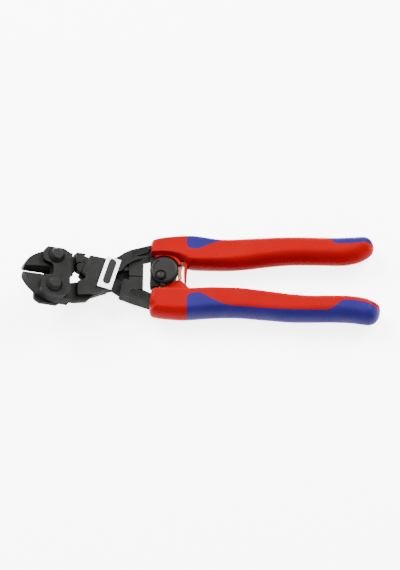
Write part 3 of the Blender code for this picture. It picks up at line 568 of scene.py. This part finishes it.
def spring_leaf():
    """Flat bowed strip between the grips; the real spring stretches as the handles open, but this
    piece is drawn in one fixed shape.
    """
    path = curve_through([(-10.9, 8.6), (-11.2, 6.6), (-11.9, 4.2), (-12.2, 2.0), (-12.0, 0.0),
                          (-11.7, -1.9)], 8)
    half_width, half_depth, middle = 1.15, 0.45, 10.6
    vertices, faces = [], []
    for k, (x, y) in enumerate(path):
        before, after = path[max(k - 1, 0)], path[min(k + 1, len(path) - 1)]
        along = Vector((after[0] - before[0], after[1] - before[1])).normalized()
        side = Vector((-along.y, along.x)) * half_width
        for across, lift in ((-1, -1), (-1, 1), (1, 1), (1, -1)):
            vertices.append(((x + side.x * across) * MM, (y + side.y * across) * MM,
                             (middle + half_depth * lift) * MM))
    count = len(path)
    for k in range(count - 1):
        for m in range(4):
            n = (m + 1) % 4
            faces.append((4 * k + m, 4 * k + n, 4 * k + 4 + n, 4 * k + 4 + m))
    faces += [(0, 1, 2, 3), tuple(4 * (count - 1) + m for m in (3, 2, 1, 0))]
    leaf = soften(mesh_piece("opening_leaf", vertices, faces, smooth=False), 0.12, 40.0, 2)
    finish_shading(leaf, 35.0)
    paint(leaf, SPRING)
    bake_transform(leaf)
    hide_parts("opening_spring")


def on_label(along, across):
    """A point of the label's face: along its slant and across it, in mm from its middle."""
    return (-7.4 + along * sin(LABEL_SLANT) + across * cos(LABEL_SLANT),
            -0.2 + along * cos(LABEL_SLANT) - across * sin(LABEL_SLANT))


def label_stadium(radius):
    """Round-ended outline along the label."""
    middle, reach = 1.0, 5.9
    outline = []
    for turn in (1, -1):
        for a in range(0, 181, 12):
            outline.append(on_label(middle + turn * (reach + radius * sin(radians(a))),
                                    turn * radius * cos(radians(a))))
    return outline


def label_face():
    """White field with a dark round-ended panel let into it, blank."""
    back, front = 4.86, 4.98
    long_half, half = 10.3, 4.1
    field = prism("label_field", [on_label(-long_half, -half), on_label(-long_half + 1.2, half),
                                  on_label(long_half, half), on_label(long_half - 1.0, -half)],
                  back, front)
    carve(field, prism("panel", label_stadium(2.2), back - 1.0, front + 1.0))
    dark = prism("label_panel", label_stadium(1.95), back, front - 0.04)
    tilt_to_head(field)
    dress(field, WHITE, 30.0, "upper_handle", "label", "name_label")
    tilt_to_head(dark)
    dress(dark, BLACK, 30.0, "upper_handle", "label")


def round_ended(start, end, radius):
    """Round-ended outline between two points."""
    along = Vector((end[0] - start[0], end[1] - start[1])).normalized()
    side = Vector((-along.y, along.x))
    outline = []
    for centre, turn in ((end, 1), (start, -1)):
        for a in range(0, 181, 15):
            reach = (side * cos(radians(a)) + along * sin(radians(a))) * (radius * turn)
            outline.append((centre[0] + reach.x, centre[1] + reach.y))
    return outline


def lever_panels():
    """Blank round-ended panels on the front of the two levers: a low rim round a dark floor."""
    base = LEVER_FACE + 0.02
    for name, body, start, end in (
            ("upper_lever_panel", "upper_handle", (-38.0, 12.6), (-31.2, 15.0)),
            ("lower_lever_panel", "frame", (-38.2, -10.0), (-31.4, -12.4))):
        rim = prism(name, round_ended(start, end, 1.75), base, LEVER_FACE + 0.22)
        opening = round_ended(start, end, 1.35)
        carve(rim, prism("inside", opening, LEVER_FACE - 0.8, LEVER_FACE + 1.2))
        soften(rim, 0.06)
        inside = prism(name + "_floor", opening, base, LEVER_FACE + 0.08)
        dress(rim, STEEL, 35.0, body, "forged_steel")
        dress(inside, BLACK, 35.0, body, "forged_steel")


# ---------------------------------------------------------------- webs and lock housing
def tilt_to_head(obj):
    """Turns a piece drawn about the kink, with X along the handles, up into the head."""
    turn = Matrix.Translation((KINK[0] * MM, 0, KINK[1] * MM)) @ Matrix.Rotation(HEAD, 4, "Y")
    obj.data.transform(turn)
    return obj


def lever_copy():
    """The upper lever's shape, to cut a web back to its surface."""
    lever = frame["nodes"]["upper_lever"].copy()
    lever.data = lever.data.copy()
    bpy.context.scene.collection.objects.link(lever)
    return lever


def webs():
    """Webs that close the neck and the room behind the jaw's tail, and the lock's housing."""
    neck = prism("neck_web", [(-49.0, -3.4), (-48.6, 2.6), (-44.6, 4.2), (-40.6, 5.4),
                              (-39.4, 5.0), (-39.2, -2.8)], 4.4, 7.0)
    housing = prism("lock_housing", [(-28.7, -5.2), (-28.2, -6.3), (-23.4, -6.3), (-23.2, -2.0),
                                     (-23.2, 7.6), (-28.4, 7.6)], 4.9, 11.2)
    slit = prism("throat_web", [(-28.6, -9.8), (-28.6, -8.2), (-25.6, -7.4), (-22.4, -7.6),
                                (-21.6, -9.8)], -2.6, 1.8)
    back = prism("tail_web", [(-24.2, 2.6), (-22.6, 9.6), (-19.6, 12.6), (-16.4, 12.0),
                              (-16.4, 3.0)], -6.0, -5.2)
    for obj, body, tilted in ((neck, "frame", False), (housing, "upper_handle", False),
                              (slit, "frame", True), (back, "upper_handle", True)):
        soften(obj, 0.2)
        if tilted:
            tilt_to_head(obj)
        if body == "frame":
            carve(obj, lever_copy())
        dress(obj, STEEL, 35.0, body, "forged_steel")


# ---------------------------------------------------------------- studio
def studio():
    bpy.ops.mesh.primitive_plane_add(size=4.0, location=(0, 0, 0))
    floor = bpy.context.object
    floor.name = "floor"
    white, _, shader = shader_of("floor_white", (0.88, 0.88, 0.88), 0.9)
    shader.inputs["Emission Color"].default_value = (1.0, 1.0, 1.0, 1.0)
    shader.inputs["Emission Strength"].default_value = 4.6
    paint(floor, white)
    world = bpy.data.worlds.new("studio")
    world.use_nodes = True
    background = world.node_tree.nodes["Background"]
    background.inputs["Color"].default_value = (1, 1, 1, 1)
    background.inputs["Strength"].default_value = 0.55
    bpy.context.scene.world = world
    lights = (("back_left", (-0.8, 0.75, 0.9), 0.8, 80.0),
              ("back_right", (0.8, 0.75, 0.9), 0.8, 60.0),
              ("top", (0.0, -0.15, 1.3), 0.5, 12.0))
    for name, place, size, power in lights:
        data = bpy.data.lights.new(name, "AREA")
        data.size = size
        data.energy = power
        lamp = bpy.data.objects.new(name, data)
        bpy.context.scene.collection.objects.link(lamp)
        lamp.location = place
        lamp.rotation_euler = Vector(place).to_track_quat("Z", "Y").to_euler()


def camera():
    data = bpy.data.cameras.new("camera")
    target = Vector((-0.0006, -0.0039, 0.008))
    elevation = radians(67.0)
    distance = 1.60
    sensor, field = 36.0, 0.2235    # sensor width in mm; width seen at the target in metres
    roll = Matrix.Rotation(radians(0.63), 4, "Z")
    away = Vector((0.0, -cos(elevation), sin(elevation)))
    data.sensor_fit = "HORIZONTAL"
    data.sensor_width = sensor
    data.lens = sensor * distance / field
    cam = bpy.data.objects.new("camera", data)
    bpy.context.scene.collection.objects.link(cam)
    cam.location = target + away * distance
    turn = away.to_track_quat("Z", "Y").to_matrix().to_4x4()
    cam.matrix_world = Matrix.Translation(cam.location) @ turn @ roll
    bpy.context.scene.camera = cam


grips()
lock_knob()
spring_leaf()
label_face()
lever_panels()
webs()
studio()
camera()
